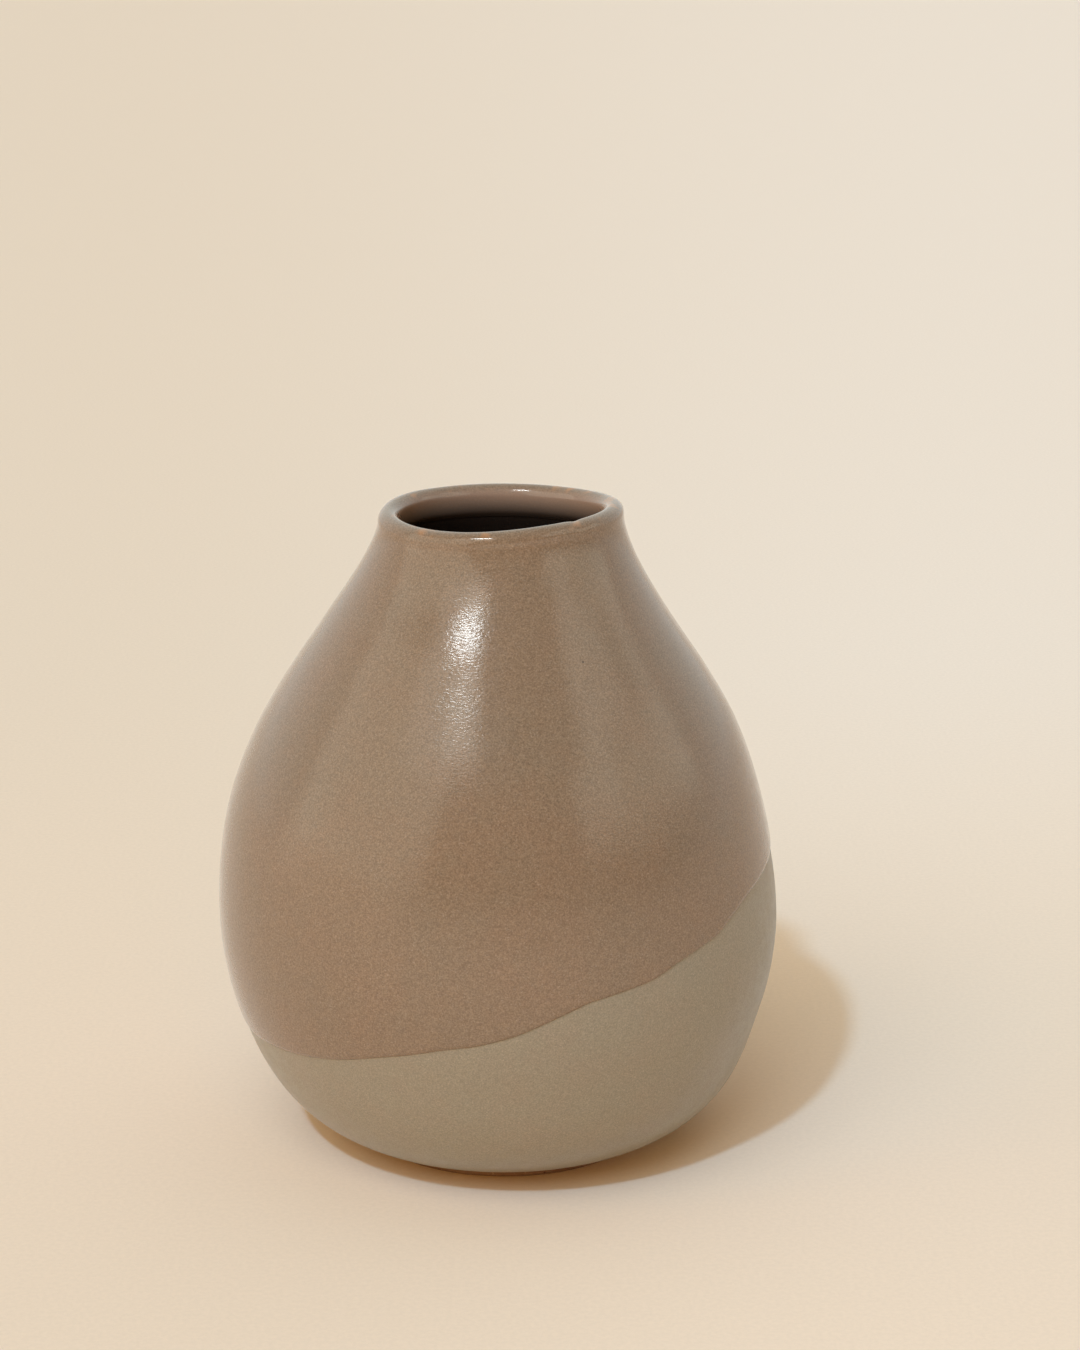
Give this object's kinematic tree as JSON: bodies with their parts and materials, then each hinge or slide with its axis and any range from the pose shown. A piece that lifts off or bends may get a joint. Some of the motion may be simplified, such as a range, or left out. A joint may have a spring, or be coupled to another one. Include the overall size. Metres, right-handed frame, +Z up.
{
  "type": "bud vase",
  "caption": "Small wheel-thrown stoneware bud vase: low round belly, collared neck, turned foot, and a slanted dip of second glaze.",
  "frame": {"origin": "centre of the foot, on the surface that the vase stands on", "axes": "+Z up along the pot's turned axis; +X to the right and +Y away as the picture shows it, so the dip line rises towards +X"},
  "size_m": [0.095, 0.0952, 0.1093],
  "materials": {
    "bare_clay": "bare fired brown stoneware, matt and slightly rough",
    "liner_glaze": "glossy dark brown liner glaze",
    "sage_glaze": "satin sage-grey glaze with a fine pale speckle",
    "taupe_glaze": "glossy warm taupe glaze with a fine pale speckle and soft brown clouds"
  },
  "bodies": {
    "root": {"clay_body": "bare_clay", "liner_glaze": "liner_glaze", "base_glaze": "sage_glaze", "dip_glaze": "taupe_glaze"}
  },
  "joints": []
}
